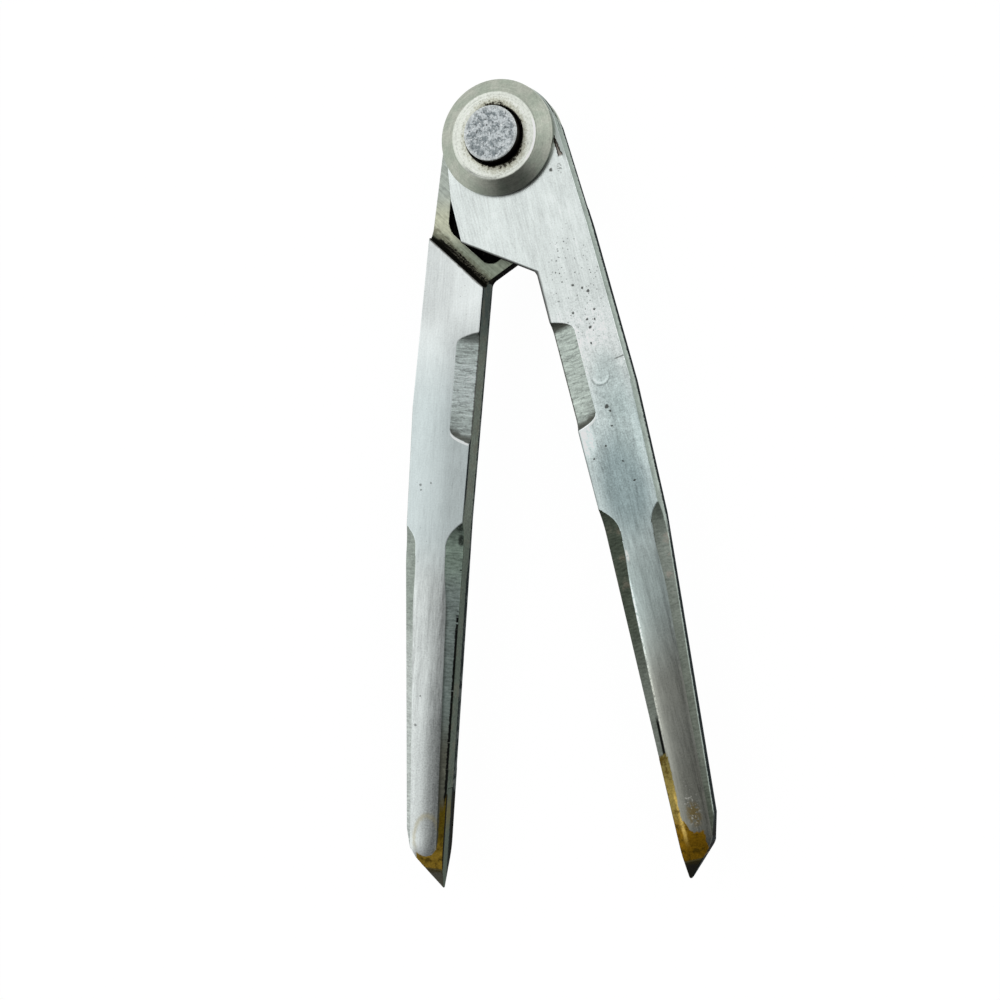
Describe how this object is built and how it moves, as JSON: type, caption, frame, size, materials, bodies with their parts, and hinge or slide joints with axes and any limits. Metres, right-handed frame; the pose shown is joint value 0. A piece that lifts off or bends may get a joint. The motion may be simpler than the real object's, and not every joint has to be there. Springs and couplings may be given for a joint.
{
  "type": "layout divider",
  "caption": "Firm-joint layout divider: flat steel legs half-lapped on a collared pivot pin, tapering to brazed hard points for scribing and stepping off distances.",
  "frame": {"origin": "centre of the pivot pin's rear end face", "axes": "+Z along the pivot towards the front collar, -Y along the line midway between the legs towards the points, +X towards the leg whose head plate is in front"},
  "size_m": [0.0628, 0.1598, 0.016],
  "materials": {
    "leg_steel": "brushed lengthwise, cross-milled flanks",
    "pin_steel": "grainy, sawn end",
    "collar_steel": "turned, lightly stained",
    "washer_brass": "plain",
    "hard_point": "ground",
    "braze": "cast, uneven"
  },
  "bodies": {
    "front_half": {"front_leg": "leg_steel", "pivot_pin": "pin_steel", "front_collar": "collar_steel", "rear_collar": "collar_steel", "friction_washer": "washer_brass", "front_leg_point": "hard_point", "front_leg_braze": "braze"},
    "rear_half": {"rear_leg": "leg_steel", "rear_leg_point": "hard_point", "rear_leg_braze": "braze"}
  },
  "joints": [
    {"name": "leg_hinge", "type": "hinge", "parent": "front_half", "child": "rear_half", "pos_m": [0, 0, 0.008], "axis": [0, 0, -1], "range_deg": [-19.3, 160.6]}
  ]
}
